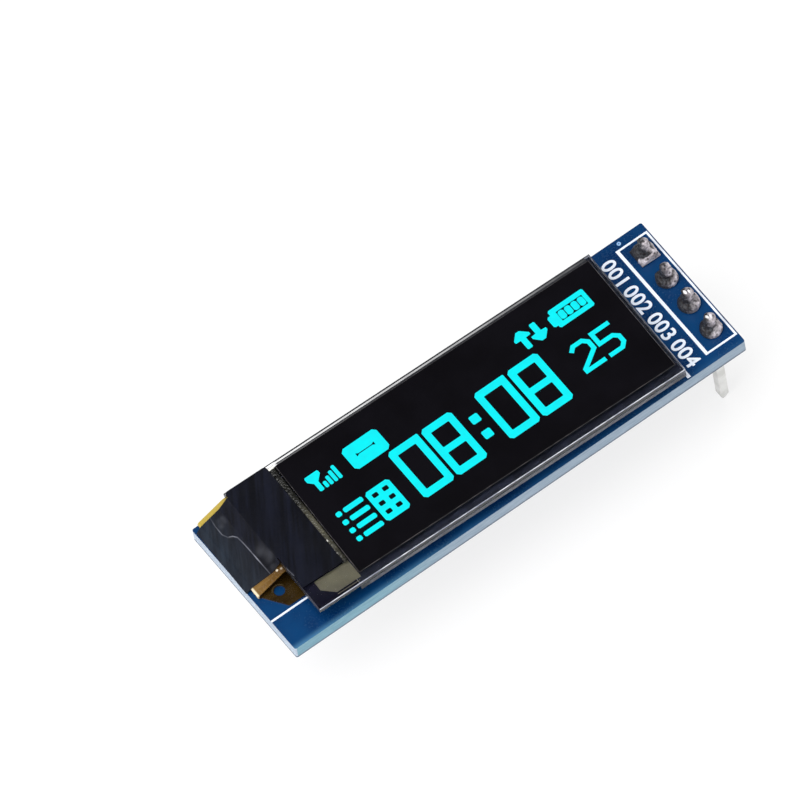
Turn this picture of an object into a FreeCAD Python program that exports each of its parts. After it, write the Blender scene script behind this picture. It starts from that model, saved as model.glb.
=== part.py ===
import FreeCAD
import Part

import math
import os

Vector = FreeCAD.Vector

# Small display module: a glass display panel on a board with a four pin header.
# The origin is in the middle of the pin row, on the underside of the header's insulator.
# +X runs from the flexible circuit to the header, +Y to the module's back, +Z out of the display.

# Display panel
panel_length = 30.4
panel_width = 11.5
substrate_thickness = 0.42
seal_thickness = 0.05
seal_width = 0.8
seal_inset = 0.06
cap_thickness = 0.42
glass_chamfer = 0.04
ledge_length = 3.4
recess_depth = 0.24
recess_past_seal = 0.04
desiccant_thickness = 0.12
desiccant_gap = 0.6
panel_skew = -1.2
panel_shift_back = -0.11

# Lit area
active_ledge_gap = 1.46
active_end_gap = 0.1
active_front_gap = 2.88
active_back_gap = 1.82
emitter_thickness = 0.02

# Polarizer film
polarizer_thickness = 0.15
polarizer_front_margin = 0.68
polarizer_back_margin = 0.46
polarizer_end_margin = 0.34
polarizer_ledge_gap = 0.36
polarizer_slant = 0.2

# Under the ledge
film_thickness = 0.03
trace_inset_end = 0.98
trace_inset_side = 0.55
trace_width = 1.6
trace_chamfer = 0.8
chip_trace_gap = 0.2
chip_width = 0.9
chip_thickness = 0.3
chip_from_cap = 0.7
bond_length = 0.84

# Board
board_thickness = 1.2
board_side_margin = 0.25
board_corner_radius = 0.15
foam_thickness = 0.96
foam_inset_end = 1.6
foam_inset_side = 1.9
foam_contact_gap = 0.7

# Flexible circuit
flex_thickness = 0.1
contact_count = 14
contact_width = 0.36
contact_length = 1.3
contact_solder_height = 0.08
contact_side_margin = 0.75
ear_front_inset = 2.5
ear_reach = 1.65
flex_back_inset = 0.1
ear_run = 1.15
ear_corner_radius = 0.25
flex_reach = 2.41
flex_fold_radius = 0.22
flex_knee_gap = 0.18
flex_knee_radius = 0.5
flex_tail_length = 3.8
align_hole_radius = 0.4
align_hole_from_panel = 0.88
align_hole_from_side = 1.35

# Black tape
tape_thickness = 0.08
tape_gap = 0.01
tape_past_ledge = 0.02
tape_bare_front = 2.1
tape_edge_inset = 0.05
tape_front_reveal = 0.88
tape_back_reveal = 0.4
tape_crease_gap = 0.75
tape_crease_radius = 0.15
tape_edge_gap = 0.06
tape_lip_angle = 45.0
tape_past_fold = 0.34
tape_corner_radius = 0.25

# Pin header
pin_count = 4
pin_pitch = 2.54
pin_side = 0.64
pin_mating_length = 6.0
pin_stub_length = 1.8
pin_tip_length = 0.7
pin_tip_side = 0.2
pin_stub_chamfer = 0.12
insulator_height = 2.0
insulator_depth = 2.5
insulator_chamfer = 0.3
insulator_end_cut = 0.14
header_zone = 3.58
row_to_board_end = 1.27

# Header solder
hole_radius = 0.5
solder_gap = 0.01
solder_pad_radius = 0.78
solder_height = 1.45
solder_collar = 0.05
solder_hollow = 0.12
square_pad_side = 1.6
solder_steps = 5

# Printed lines
print_thickness = 0.02
frame_past_row = 1.35
frame_inner_gap = 1.35
frame_end_inset = 0.17
frame_line = 0.15
frame_thick_line = 0.24
long_line_from_front = 2.75
long_line_length = 5.4
tick_from_front = 0.1
tick_length = 0.7
tick_width = 0.27
tick_from_panel = 0.06

# Chip parts on the underside
chip_part_length = 1.6
chip_part_width = 0.8
capacitor_height = 0.8
resistor_height = 0.45
end_cap_length = 0.32
end_cap_lip = 0.02
solder_foot = 0.28
solder_climb = 0.55
first_chip_row = 7.6
second_chip_row = 11.2
chip_row_margin = 2.4
chip_row_count = 5

# Voltage regulator on the underside, with its own capacitor
regulator_from_flex_end = 16.2
regulator_to_capacitor = 4.2
regulator_capacitor_margin = 3.4
regulator_length = 2.9
regulator_width = 1.3
regulator_height = 1.0
regulator_draft = 0.08
regulator_standoff = 0.1
lead_width = 0.4
lead_thickness = 0.13
lead_pitch = 0.95
lead_reach = 0.55
lead_foot = 0.3
lead_bend_radius = 0.1

# Places that follow from the sizes above
board_bottom = insulator_height
board_top = board_bottom + board_thickness
panel_from_board_end = flex_reach + tape_past_fold
board_length = panel_from_board_end + panel_length + header_zone + row_to_board_end
board_width = panel_width + 2 * board_side_margin
board_left = row_to_board_end - board_length
panel_left = -panel_length / 2
panel_right = panel_length / 2
panel_front = -panel_width / 2
panel_back = panel_width / 2
cap_left = panel_left + ledge_length
seal_inner = seal_inset + seal_width
recess_margin = seal_inner + recess_past_seal
cap_bottom = foam_thickness
seal_bottom = cap_bottom + cap_thickness
substrate_bottom = seal_bottom + seal_thickness
substrate_top = substrate_bottom + substrate_thickness
ear_front = panel_front + ear_front_inset
neck_front = ear_front + ear_reach
flex_back = panel_back - flex_back_inset
flex_tail_end = cap_left + flex_tail_length - ledge_length
fold_centre_x = panel_left - flex_reach + flex_fold_radius + flex_thickness / 2
fold_centre_z = flex_fold_radius + flex_thickness / 2


def box(x0, x1, y0, y1, z0, z1):
    return Part.makeBox(x1 - x0, y1 - y0, z1 - z0, Vector(x0, y0, z0))


def plate(points, z0, z1):
    corners = [Vector(x, y, z0) for x, y in points]
    outline = Part.makePolygon(corners + [corners[0]])
    return Part.Face(outline).extrude(Vector(0, 0, z1 - z0))


def round_upright_edges(solid, radius, chosen=None):
    edges = [e for e in solid.Edges if upright(e) and (chosen is None or chosen(e))]
    return solid.makeFillet(radius, edges)


def upright(edge):
    first, last = edge.Vertexes[0].Point, edge.Vertexes[-1].Point
    return abs(first.x - last.x) < 1e-6 and abs(first.y - last.y) < 1e-6


def joined(solids):
    whole = solids[0]
    for solid in solids[1:]:
        whole = whole.fuse(solid)
    return whole.removeSplitter()


def on_panel(shape):
    # The panel and all that hangs on it is built square, then turned and set on the board.
    turned = shape.copy()
    turned.rotate(Vector(0, 0, 0), Vector(0, 0, 1), panel_skew)
    middle = board_left + panel_from_board_end + panel_length / 2
    turned.translate(Vector(middle, panel_shift_back, board_top))
    return turned


def pin_places():
    first = (pin_count - 1) * pin_pitch / 2
    return [first - i * pin_pitch for i in range(pin_count)]


# Bent strips, drawn from the side in x and z

def side_normal(a, b):
    along = (b - a).normalize()
    return Vector(-along.z, 0, along.x)


def bent_edge(points, radii, side):
    edges = []
    last = points[0] + side_normal(points[0], points[1]) * side
    for before, corner, after, radius in zip(points, points[1:], points[2:], radii):
        enter = (corner - before).normalize()
        leave = (after - corner).normalize()
        turn = math.atan2(enter.x * leave.z - enter.z * leave.x, enter.dot(leave))
        reach = radius * math.tan(abs(turn) / 2)
        inward = math.copysign(1, turn)
        start = corner - enter * reach
        end = corner + leave * reach
        normal_in = side_normal(before, corner)
        normal_out = side_normal(corner, after)
        centre = start + normal_in * (inward * radius)
        outward = (normal_in + normal_out).normalize() * (-inward)
        arc_start = start + normal_in * side
        arc_end = end + normal_out * side
        arc_middle = centre + outward * (radius - inward * side)
        edges.append(Part.LineSegment(last, arc_start).toShape())
        edges.append(Part.Arc(arc_start, arc_middle, arc_end).toShape())
        last = arc_end
    finish = points[-1] + side_normal(points[-2], points[-1]) * side
    edges.append(Part.LineSegment(last, finish).toShape())
    return edges


def bent_strip(points, radii, thickness, y0, y1):
    path = [Vector(x, y0, z) for x, z in points]
    upper = bent_edge(path, radii, thickness / 2)
    lower = bent_edge(path, radii, -thickness / 2)
    start = Part.LineSegment(lower[0].Vertexes[0].Point, upper[0].Vertexes[0].Point).toShape()
    end = Part.LineSegment(lower[-1].Vertexes[-1].Point, upper[-1].Vertexes[-1].Point).toShape()
    outline = Part.Wire(Part.__sortEdges__(upper + lower + [start, end]))
    return Part.Face(outline).extrude(Vector(0, y1 - y0, 0))


# Board and header

def circuit_board():
    half = board_width / 2
    board = box(board_left, row_to_board_end, -half, half, board_bottom, board_top)
    board = round_upright_edges(board, board_corner_radius)
    for y in pin_places():
        hole = Part.makeCylinder(hole_radius, board_thickness, Vector(0, y, board_bottom))
        board = board.cut(hole)
    return board


def header_insulator():
    half = insulator_depth / 2
    step = pin_pitch / 2
    end = pin_count * step - insulator_end_cut
    cut = insulator_chamfer
    blocks = []
    for y in pin_places():
        low, high = max(y - step, -end), min(y + step, end)
        corners = [(-half, low + cut), (-half + cut, low), (half - cut, low), (half, low + cut),
                   (half, high - cut), (half - cut, high), (-half + cut, high), (-half, high - cut)]
        blocks.append(plate(corners, 0, insulator_height))
    body = joined(blocks)
    for y in pin_places():
        body = body.cut(pin_bar(y, 0, insulator_height))
    return body


def pin_bar(y, z0, z1):
    half = pin_side / 2
    return box(-half, half, y - half, y + half, z0, z1)


def square_wire(side, y, z):
    half = side / 2
    signs = [(-1, -1), (1, -1), (1, 1), (-1, 1), (-1, -1)]
    return Part.makePolygon([Vector(half * sx, y + half * sy, z) for sx, sy in signs])


def header_pin(y):
    top = board_top + pin_stub_length
    sections = [
        (pin_tip_side, -pin_mating_length),
        (pin_side, pin_tip_length - pin_mating_length),
        (pin_side, top - pin_stub_chamfer),
        (pin_side - 2 * pin_stub_chamfer, top),
    ]
    return Part.makeLoft([square_wire(side, y, z) for side, z in sections], True, True)


def solder_barrel(y):
    radius = hole_radius - solder_gap
    return Part.makeCylinder(radius, board_thickness, Vector(0, y, board_bottom))


def solder_radius_at(share, foot):
    # The wetted solder draws in hollow from its foot, share 0, to the pin, share 1.
    collar = pin_side / math.sqrt(2) + solder_collar
    straight = foot + (collar - foot) * share
    return straight - 4 * solder_hollow * share * (1 - share)


def round_solder_joint(y):
    axis_foot = Vector(0, y, board_top)
    axis_top = Vector(0, y, board_top + solder_height)
    slope = []
    for i in range(solder_steps + 1):
        share = i / solder_steps
        slope.append(Vector(solder_radius_at(share, solder_pad_radius), y, board_top + solder_height * share))
    outline = Part.makePolygon([axis_foot] + slope + [axis_top, axis_foot])
    cone = Part.Face(outline).revolve(axis_foot, Vector(0, 0, 1), 360)
    return around_pin(cone, y)


def around_pin(cone, y):
    hole = pin_bar(y, board_bottom, board_top + solder_height)
    return cone.fuse(solder_barrel(y)).cut(hole).removeSplitter()


def square_solder_joint(y):
    sections = []
    for i in range(solder_steps + 1):
        share = i / solder_steps
        side = 2 * solder_radius_at(share, square_pad_side / 2)
        sections.append(square_wire(side, y, board_top + solder_height * share))
    return around_pin(Part.makeLoft(sections, True, True), y)


def printed_lines():
    low, high = board_top, board_top + print_thickness
    thin, thick = frame_line / 2, frame_thick_line / 2
    side = (pin_count - 1) * pin_pitch / 2 + frame_past_row
    left, right = -frame_inner_gap, row_to_board_end - frame_end_inset
    frame = box(left - thick, right + thin, -side - thin, side + thin, low, high)
    frame = frame.cut(box(left + thick, right - thin, thin - side, side - thin, low, high))
    line_y = long_line_from_front - board_width / 2
    long_line = box(board_left, board_left + long_line_length, line_y - thin, line_y + thin, low, high)
    tick_x = board_left + panel_from_board_end + panel_length + tick_from_panel
    tick_y = tick_from_front - board_width / 2
    tick = box(tick_x, tick_x + tick_width, tick_y, tick_y + tick_length, low, high)
    return Part.makeCompound([frame, long_line, tick])


# Display

def cut_arrises(glass):
    level = [e for e in glass.Edges if abs(e.Vertexes[0].Point.z - e.Vertexes[-1].Point.z) < 1e-6]
    return glass.makeChamfer(glass_chamfer, level)


def substrate_glass():
    glass = box(panel_left, panel_right, panel_front, panel_back, substrate_bottom, substrate_top)
    return on_panel(cut_arrises(glass))


def cap_glass():
    recess = inside_cap(recess_margin, seal_bottom - recess_depth, seal_bottom)
    return on_panel(cut_arrises(inside_cap(0, cap_bottom, seal_bottom)).cut(recess))


def inside_cap(inset, z0, z1):
    return box(cap_left + inset, panel_right - inset, panel_front + inset, panel_back - inset, z0, z1)


def edge_seal():
    ring = inside_cap(seal_inset, seal_bottom, substrate_bottom)
    return on_panel(ring.cut(inside_cap(seal_inner, seal_bottom, substrate_bottom)))


def emitter_layer():
    left = cap_left + active_ledge_gap
    right = panel_right - seal_inner - active_end_gap
    front = panel_front + active_front_gap
    back = panel_back - active_back_gap
    low = substrate_bottom - emitter_thickness
    return on_panel(box(left, right, front, back, low, substrate_bottom))


def desiccant_sheet():
    low = seal_bottom - recess_depth
    return on_panel(inside_cap(recess_margin + desiccant_gap, low, low + desiccant_thickness))


def polarizer():
    left = cap_left + polarizer_ledge_gap
    right = panel_right - polarizer_end_margin
    front = panel_front + polarizer_front_margin
    back = panel_back - polarizer_back_margin
    corners = [(left, front), (right, front), (right, back), (left + polarizer_slant, back)]
    return on_panel(plate(corners, substrate_top, substrate_top + polarizer_thickness))


def trace_outline(side):
    # side is -1 at the front and 1 at the back
    outer = side * (panel_width / 2 - trace_inset_side)
    inner = outer - side * trace_width
    left = panel_left + trace_inset_end
    cut = (left, outer - side * trace_chamfer)
    return [(left, inner), cut, (left + trace_chamfer, outer), (cap_left, outer), (cap_left, inner)]


def ledge_traces():
    low = substrate_bottom - film_thickness
    fields = [plate(trace_outline(side), low, substrate_bottom) for side in (-1, 1)]
    return on_panel(Part.makeCompound(fields))


def chip_box():
    right = cap_left - chip_from_cap
    half = panel_width / 2 - trace_inset_side - trace_width - chip_trace_gap
    low = substrate_bottom - chip_thickness
    return box(right - chip_width, right, -half, half, low, substrate_bottom)


def driver_chip():
    return on_panel(chip_box())


def ledge_coating():
    low = substrate_bottom - film_thickness
    left = panel_left + glass_chamfer
    half = panel_width / 2 - glass_chamfer
    film = box(left, cap_left, -half, half, low, substrate_bottom)
    bond = box(left, panel_left + bond_length, neck_front, flex_back, low, substrate_bottom)
    film = film.cut(bond).cut(chip_box())
    for side in (-1, 1):
        film = film.cut(plate(trace_outline(side), low, substrate_bottom))
    return on_panel(film)


def slope_angle(knee):
    # The strip leaves the fold on the tangent that meets its knee at the glass.
    run = knee[0] - fold_centre_x
    rise = knee[1] - fold_centre_z
    return math.atan2(rise, run) - math.asin(flex_fold_radius / math.hypot(run, rise))


def flex_knee():
    return (panel_left - flex_knee_gap, substrate_bottom - flex_thickness / 2)


def flexible_circuit():
    knee = flex_knee()
    low = flex_thickness / 2
    turn_x = knee[0] - (knee[1] - low) / math.tan(slope_angle(knee))
    path = [(panel_left + bond_length, knee[1]), knee, (turn_x, low), (fold_centre_x + flex_thickness, low)]
    folded = bent_strip(path, [flex_knee_radius, flex_fold_radius], flex_thickness, neck_front, flex_back)
    ear_start = fold_centre_x
    ear_end = ear_start + ear_run
    corners = [(ear_start, neck_front), (ear_end, ear_front), (flex_tail_end, ear_front),
               (flex_tail_end, flex_back), (ear_start, flex_back)]
    tail = plate(corners, 0, flex_thickness)
    past_neck = ear_start + ear_run / 2
    tail = round_upright_edges(tail, ear_corner_radius, lambda e: e.Vertexes[0].Point.x > past_neck)
    flex = joined([folded, tail])
    hole_x = panel_left - align_hole_from_panel
    for y in (ear_front + align_hole_from_side, flex_back - align_hole_from_side):
        flex = flex.cut(Part.makeCylinder(align_hole_radius, flex_thickness, Vector(hole_x, y, 0)))
    return on_panel(flex)


def contact_solder():
    left = flex_tail_end - contact_length
    first = ear_front + contact_side_margin
    last = flex_back - contact_side_margin
    half = contact_width / 2
    high = flex_thickness + contact_solder_height
    beads = []
    for i in range(contact_count):
        y = first + (last - first) * i / (contact_count - 1)
        beads.append(box(left, flex_tail_end, y - half, y + half, flex_thickness, high))
    return on_panel(Part.makeCompound(beads))


def black_tape():
    # On the ledge, down over the flexible circuit and its fold, to the end of the board.
    knee = flex_knee()
    angle = slope_angle(knee)
    lip = math.radians(tape_lip_angle)
    ride = flex_thickness / 2 + tape_gap + tape_thickness / 2
    on_ledge = substrate_top + tape_thickness / 2
    slope_x = knee[0] - ride * math.sin(angle)
    slope_z = knee[1] + ride * math.cos(angle)
    crease_x = panel_left - tape_crease_gap
    crease_z = slope_z - (slope_x - crease_x) * math.tan(angle)
    over_fold = flex_fold_radius + ride
    turn = (math.radians(90) + angle + math.radians(90) + lip) / 2
    corner = over_fold / math.cos((lip - angle) / 2)
    fold = (fold_centre_x + corner * math.cos(turn), fold_centre_z + corner * math.sin(turn))
    end_z = tape_thickness
    end = (fold[0] - (fold[1] - end_z) / math.tan(lip), end_z)
    ledge_end = cap_left + tape_past_ledge
    edge = panel_left - tape_edge_gap
    path = [(ledge_end, on_ledge), (edge, on_ledge), (crease_x, crease_z), fold, end]
    radii = [tape_thickness, tape_crease_radius, over_fold]
    front = neck_front + tape_front_reveal
    back = flex_back - tape_back_reveal
    strip = bent_strip(path, radii, tape_thickness, front, back)
    ledge_front = panel_front + tape_bare_front
    ledge_back = panel_back - tape_edge_inset
    patch = box(panel_left + tape_edge_inset, ledge_end, ledge_front, ledge_back,
                substrate_top, substrate_top + tape_thickness)
    tape = joined([strip, patch])
    outer = [e for e in tape.Edges if upright(e) and e.Vertexes[0].Point.y > back + 0.01]
    return on_panel(tape.makeFillet(tape_corner_radius, outer))


def foam_tape():
    left = flex_tail_end + foam_contact_gap
    right = panel_right - foam_inset_end
    half = panel_width / 2 - foam_inset_side
    return on_panel(box(left, right, -half, half, 0, foam_thickness))


# Parts on the underside, drawn hanging from the board

def chip_part(place, height):
    x, y = board_left + place[0], place[1]
    half_length, half_width = chip_part_length / 2, chip_part_width / 2
    low = board_bottom - height
    core = end_cap_length - end_cap_lip
    body = box(x - half_length + core, x + half_length - core,
               y - half_width + end_cap_lip, y + half_width - end_cap_lip,
               low + end_cap_lip, board_bottom - end_cap_lip)
    ends = []
    feet = []
    for side in (-1, 1):
        outer = x + side * half_length
        inner = outer - side * end_cap_length
        cap = box(min(outer, inner), max(outer, inner), y - half_width, y + half_width, low, board_bottom)
        ends.append(cap.cut(body))
        feet.append(solder_wedge(outer, side, y, half_width, min(solder_climb, height * 0.8)))
    return body, Part.makeCompound(ends), feet


def solder_wedge(x, side, y, half_width, climb):
    front = y - half_width
    corners = [Vector(x, front, board_bottom), Vector(x + side * solder_foot, front, board_bottom),
               Vector(x, front, board_bottom - climb)]
    outline = Part.makePolygon(corners + [corners[0]])
    return Part.Face(outline).extrude(Vector(0, 2 * half_width, 0))


def regulator_body():
    x = board_left + regulator_from_flex_end
    high = board_bottom - regulator_standoff
    low = high - regulator_height
    sections = []
    for z, inset in ((high, regulator_draft), ((high + low) / 2, 0), (low, regulator_draft)):
        half_x = regulator_width / 2 - inset
        half_y = regulator_length / 2 - inset
        corners = [Vector(x - half_x, -half_y, z), Vector(x + half_x, -half_y, z),
                   Vector(x + half_x, half_y, z), Vector(x - half_x, half_y, z)]
        sections.append(Part.makePolygon(corners + [corners[0]]))
    return Part.makeLoft(sections, True, True)


def regulator_leads():
    x = board_left + regulator_from_flex_end
    exit_z = board_bottom - regulator_standoff - regulator_height / 2
    foot_z = board_bottom - lead_thickness / 2
    half = regulator_width / 2
    leads = []
    for side, y in ((-1, -lead_pitch), (-1, lead_pitch), (1, 0)):
        inner = x + side * half
        knee = inner + side * (lead_reach - lead_foot)
        path = [(inner, exit_z), (knee, exit_z), (knee, foot_z), (inner + side * lead_reach, foot_z)]
        leads.append(bent_strip(path, [lead_bend_radius, lead_bend_radius], lead_thickness,
                                y - lead_width / 2, y + lead_width / 2))
    return Part.makeCompound(leads)


def chip_row(from_flex_end):
    back = board_width / 2 - chip_row_margin
    return [(from_flex_end, back - 2 * back * i / (chip_row_count - 1)) for i in range(chip_row_count)]


def underside_parts():
    nodes = {}
    feet = []
    second_row = chip_row(second_chip_row)
    beside_regulator = (regulator_from_flex_end + regulator_to_capacitor,
                        board_width / 2 - regulator_capacitor_margin)
    capacitor_places = chip_row(first_chip_row) + second_row[:1] + [beside_regulator]
    rows = (("capacitor", capacitor_places, capacitor_height), ("resistor", second_row[1:], resistor_height))
    for name, places, height in rows:
        for i, place in enumerate(places, 1):
            body, ends, solder = chip_part(place, height)
            nodes[f"{name}_{i}"] = body
            nodes[f"{name}_{i}_end_caps"] = ends
            feet += solder
    nodes["chip_part_solder"] = Part.makeCompound(feet)
    nodes["regulator_body"] = regulator_body()
    nodes["regulator_leads"] = regulator_leads()
    return nodes


def build():
    nodes = {
        "circuit_board": circuit_board(),
        "printed_lines": printed_lines(),
        "header_insulator": header_insulator(),
        "substrate_glass": substrate_glass(),
        "cap_glass": cap_glass(),
        "edge_seal": edge_seal(),
        "emitter_layer": emitter_layer(),
        "desiccant_sheet": desiccant_sheet(),
        "polarizer": polarizer(),
        "ledge_traces": ledge_traces(),
        "ledge_coating": ledge_coating(),
        "driver_chip": driver_chip(),
        "flexible_circuit": flexible_circuit(),
        "contact_solder": contact_solder(),
        "black_tape": black_tape(),
        "foam_tape": foam_tape(),
    }
    for i, y in enumerate(pin_places(), 1):
        nodes[f"pin_{i}"] = header_pin(y)
        nodes[f"solder_joint_{i}"] = square_solder_joint(y) if i == 1 else round_solder_joint(y)
    nodes.update(underside_parts())
    return nodes


os.makedirs("parts", exist_ok=True)
for name, shape in build().items():
    shape.exportStep(f"parts/{name}.step")
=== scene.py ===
import math

import bmesh
import bpy
from mathutils import Matrix, Vector, noise


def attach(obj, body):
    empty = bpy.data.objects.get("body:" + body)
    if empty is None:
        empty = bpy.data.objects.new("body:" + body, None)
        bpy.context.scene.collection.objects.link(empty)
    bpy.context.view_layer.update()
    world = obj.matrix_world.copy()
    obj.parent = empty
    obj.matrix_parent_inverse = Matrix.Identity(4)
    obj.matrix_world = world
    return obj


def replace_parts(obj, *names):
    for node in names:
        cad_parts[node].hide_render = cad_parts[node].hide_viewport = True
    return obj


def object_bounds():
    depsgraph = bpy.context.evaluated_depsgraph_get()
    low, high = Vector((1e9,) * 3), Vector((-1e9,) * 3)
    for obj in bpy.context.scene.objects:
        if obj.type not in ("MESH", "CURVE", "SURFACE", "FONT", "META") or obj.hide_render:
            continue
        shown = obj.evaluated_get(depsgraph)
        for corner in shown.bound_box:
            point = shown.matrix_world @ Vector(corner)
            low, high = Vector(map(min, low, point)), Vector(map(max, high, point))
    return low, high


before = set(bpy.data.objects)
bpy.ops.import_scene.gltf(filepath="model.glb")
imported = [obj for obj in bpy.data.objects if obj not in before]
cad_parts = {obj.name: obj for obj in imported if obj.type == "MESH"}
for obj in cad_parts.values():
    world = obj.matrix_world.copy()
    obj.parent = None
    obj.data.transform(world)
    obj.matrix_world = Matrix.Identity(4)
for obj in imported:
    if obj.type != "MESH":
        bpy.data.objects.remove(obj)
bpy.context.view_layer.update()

mm = 0.001
print("frame loaded:", len(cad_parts), "nodes")


# Helpers for shader nodes

def setInputs(tree, node, inputs):
    for name, value in inputs.items():
        if isinstance(value, bpy.types.NodeSocket):
            tree.links.new(value, node.inputs[name])
        else:
            node.inputs[name].default_value = value


def addNode(tree, kind, inputs=None, **settings):
    node = tree.nodes.new(kind)
    for name, value in settings.items():
        setattr(node, name, value)
    setInputs(tree, node, inputs or {})
    return node


def mathNode(tree, operation, first, second=0.0, third=0.0):
    inputs = {0: first, 1: second, 2: third}
    return addNode(tree, "ShaderNodeMath", inputs, operation=operation).outputs[0]


def times(tree, first, second):
    return mathNode(tree, "MULTIPLY", first, second)


def remap(tree, value, low, high, toLow=0.0, toHigh=1.0):
    inputs = {"Value": value, "From Min": low, "From Max": high, "To Min": toLow, "To Max": toHigh}
    return addNode(tree, "ShaderNodeMapRange", inputs, interpolation_type="SMOOTHSTEP").outputs[0]


def mixColour(tree, factor, first, second):
    return addNode(tree, "ShaderNodeMix", {0: factor, 6: first, 7: second}, data_type="RGBA").outputs[2]


def mixValue(tree, factor, first, second):
    return addNode(tree, "ShaderNodeMix", {0: factor, 2: first, 3: second}).outputs[0]


def noiseValue(tree, position, scale, detail):
    inputs = {"Vector": position, "Scale": scale, "Detail": detail}
    return addNode(tree, "ShaderNodeTexNoise", inputs).outputs[0]


def splitAxes(tree, vector):
    return addNode(tree, "ShaderNodeSeparateXYZ", {0: vector}).outputs


def distanceFrom(tree, position, point):
    node = addNode(tree, "ShaderNodeVectorMath", {0: position, 1: point}, operation="DISTANCE")
    return node.outputs["Value"]


def marked(tree, name):
    # the value that a piece's own mesh carries under this name
    return addNode(tree, "ShaderNodeAttribute", attribute_name=name).outputs["Fac"]


def screenColours(**tones):
    # colours read off a screen, 0 to 255, as the renderer's linear values
    def linear(value):
        value = value / 255
        return value / 12.92 if value <= 0.04045 else ((value + 0.055) / 1.055) ** 2.4
    return {name: (*map(linear, tone), 1.0) for name, tone in tones.items()}


# Effects that several finishes share

def startGroup(name, inputs, outputs):
    group = bpy.data.node_groups.new(name, "ShaderNodeTree")
    for label, kind in inputs.items():
        group.interface.new_socket(label, in_out="INPUT", socket_type=kind)
    for label, kind in outputs.items():
        group.interface.new_socket(label, in_out="OUTPUT", socket_type=kind)
    return group, group.nodes.new("NodeGroupInput").outputs, group.nodes.new("NodeGroupOutput").inputs


def makeVariedFinish():
    # slow change of colour, and fine grain in gloss and height; positions are in millimetres
    patchRange, grainRange, grainShare, patchShare = (0.32, 0.68), (0.3, 0.7), 0.6, 0.4
    group, given, result = startGroup("variedFinish", {
        "Position": "NodeSocketVector", "Main Colour": "NodeSocketColor", "Other Colour": "NodeSocketColor",
        "Patch Scale": "NodeSocketFloat", "Grain Scale": "NodeSocketFloat",
        "Low Roughness": "NodeSocketFloat", "High Roughness": "NodeSocketFloat",
    }, {"Colour": "NodeSocketColor", "Roughness": "NodeSocketFloat", "Height": "NodeSocketFloat"})
    patches = addNode(group, "ShaderNodeTexNoise", {
        "Vector": given["Position"], "Scale": given["Patch Scale"], "Detail": 3.0, "Roughness": 0.55})
    grain = addNode(group, "ShaderNodeTexNoise", {
        "Vector": given["Position"], "Scale": given["Grain Scale"], "Detail": 2.0, "Roughness": 0.5})
    patchMask = remap(group, patches.outputs[0], *patchRange)
    grainMask = remap(group, grain.outputs[0], *grainRange)
    fromPatches = times(group, patchMask, patchShare)
    roughness = addNode(group, "ShaderNodeMapRange", {
        "Value": mathNode(group, "MULTIPLY_ADD", grainMask, grainShare, fromPatches),
        "To Min": given["Low Roughness"], "To Max": given["High Roughness"]})
    colour = mixColour(group, patchMask, given["Main Colour"], given["Other Colour"])
    group.links.new(colour, result["Colour"])
    group.links.new(roughness.outputs[0], result["Roughness"])
    group.links.new(grainMask, result["Height"])
    return group


def makeStreaks():
    # fine lines drawn out along one direction: turned first, then each axis divided by its stretch
    group, given, result = startGroup("streaks", {
        "Position": "NodeSocketVector", "Turn": "NodeSocketVector", "Stretch": "NodeSocketVector",
        "Scale": "NodeSocketFloat",
    }, {"Mask": "NodeSocketFloat"})
    turned = addNode(group, "ShaderNodeMapping", {
        "Vector": given["Position"], "Rotation": given["Turn"], "Scale": given["Stretch"]},
        vector_type="TEXTURE")
    lines = addNode(group, "ShaderNodeTexNoise", {
        "Vector": turned.outputs[0], "Scale": given["Scale"], "Detail": 3.0, "Roughness": 0.6})
    group.links.new(remap(group, lines.outputs[0], 0.35, 0.7), result["Mask"])
    return group


def makeFlecks():
    # small bright or dark spots, sparsely spread
    group, given, result = startGroup("flecks", {
        "Position": "NodeSocketVector", "Scale": "NodeSocketFloat", "Size": "NodeSocketFloat",
    }, {"Mask": "NodeSocketFloat"})
    cells = addNode(group, "ShaderNodeTexVoronoi", {
        "Vector": given["Position"], "Scale": given["Scale"], "Randomness": 1.0})
    mask = addNode(group, "ShaderNodeMapRange", {
        "Value": cells.outputs["Distance"], "From Min": given["Size"],
        "From Max": times(group, given["Size"], 0.5)})
    group.links.new(mask.outputs[0], result["Mask"])
    return group


variedFinish = makeVariedFinish()
streaks = makeStreaks()
flecks = makeFlecks()


def useGroup(tree, group, inputs):
    return addNode(tree, "ShaderNodeGroup", inputs, node_tree=group).outputs


def varied(tree, position, main, other, patches, grain, gloss):
    return useGroup(tree, variedFinish, {
        "Position": position, "Main Colour": main, "Other Colour": other, "Patch Scale": patches,
        "Grain Scale": grain, "Low Roughness": gloss[0], "High Roughness": gloss[1]})


def streakMask(tree, position, turn, stretch, scale):
    return useGroup(tree, streaks, {
        "Position": position, "Turn": (0.0, 0.0, turn), "Stretch": stretch, "Scale": scale})["Mask"]


def fleckMask(tree, position, scale, size):
    return useGroup(tree, flecks, {"Position": position, "Scale": scale, "Size": size})["Mask"]


def startMaterial(name):
    material = bpy.data.materials.new(name)
    material.use_nodes = True
    tree = material.node_tree
    tree.nodes.clear()
    shader = tree.nodes.new("ShaderNodeBsdfPrincipled")
    output = tree.nodes.new("ShaderNodeOutputMaterial")
    tree.links.new(shader.outputs[0], output.inputs["Surface"])
    place = addNode(tree, "ShaderNodeTexCoord").outputs["Object"]
    inMillimetres = addNode(tree, "ShaderNodeVectorMath", {0: place, 1: (1000, 1000, 1000)},
                            operation="MULTIPLY")
    return material, tree, shader, inMillimetres.outputs[0]


def addSurface(tree, shader, colour, finish, bump, depth=0.02, height=None):
    relief = addNode(tree, "ShaderNodeBump", {
        "Height": height or finish["Height"], "Strength": bump, "Distance": depth * mm})
    setInputs(tree, shader, {
        "Base Color": colour, "Roughness": finish["Roughness"], "Normal": relief.outputs[0]})


# Finishes

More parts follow.
